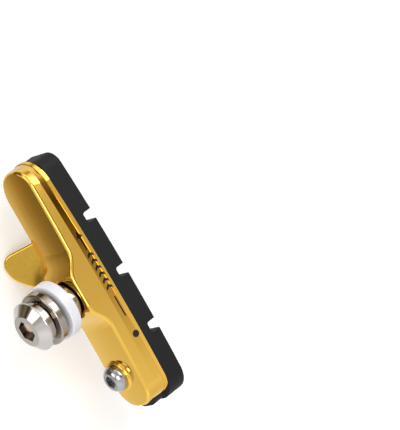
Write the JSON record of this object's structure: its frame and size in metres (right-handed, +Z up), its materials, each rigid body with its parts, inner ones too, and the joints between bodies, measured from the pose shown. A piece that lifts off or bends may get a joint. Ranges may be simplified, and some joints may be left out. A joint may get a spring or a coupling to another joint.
{
  "type": "bicycle rim brake pad",
  "caption": "Curved road rim brake shoe: a rubber insert with cross slots slides into a cast holder with a cooling fin, kept by a small screw, on a threaded bolt with ball washers for toe-in.",
  "frame": {"origin": "on the mounting bolt's axis, at the nylon washer's face that bears on the brake arm", "axes": "+X towards the front of the bicycle (closed end of the holder), +Y outboard along the bolt to its head, +Z up (away from the wheel's axle)"},
  "size_m": [0.0562, 0.0243, 0.0197],
  "materials": {
    "gold_alloy": "polished, gold anodised",
    "brake_rubber": "matte, moulded",
    "chromed_steel": "bright plated",
    "white_nylon": "smooth, slightly milky"
  },
  "bodies": {
    "shoe": {"shoe_holder": "gold_alloy", "pad_insert": "brake_rubber", "pad_retaining_screw": "chromed_steel", "mounting_bolt": "chromed_steel", "ball_washer": "chromed_steel", "convex_washer": "chromed_steel"},
    "outer_seat": {"dish_washer": "chromed_steel"},
    "inner_seat": {"seat_washer": "white_nylon"}
  },
  "joints": [
    {"name": "outer_seat_toe", "type": "hinge", "parent": "shoe", "child": "outer_seat", "pos_m": [0, 0.00651, 0], "axis": [0, 0, 1], "range_deg": [-5, 5]},
    {"name": "inner_seat_toe", "type": "hinge", "parent": "shoe", "child": "inner_seat", "pos_m": [0, -0.00611, 0], "axis": [0, 0, 1], "range_deg": [-5, 5]}
  ],
  "couplings": [
    {"joint": "inner_seat_toe", "follows": "outer_seat_toe", "ratio": 1}
  ]
}
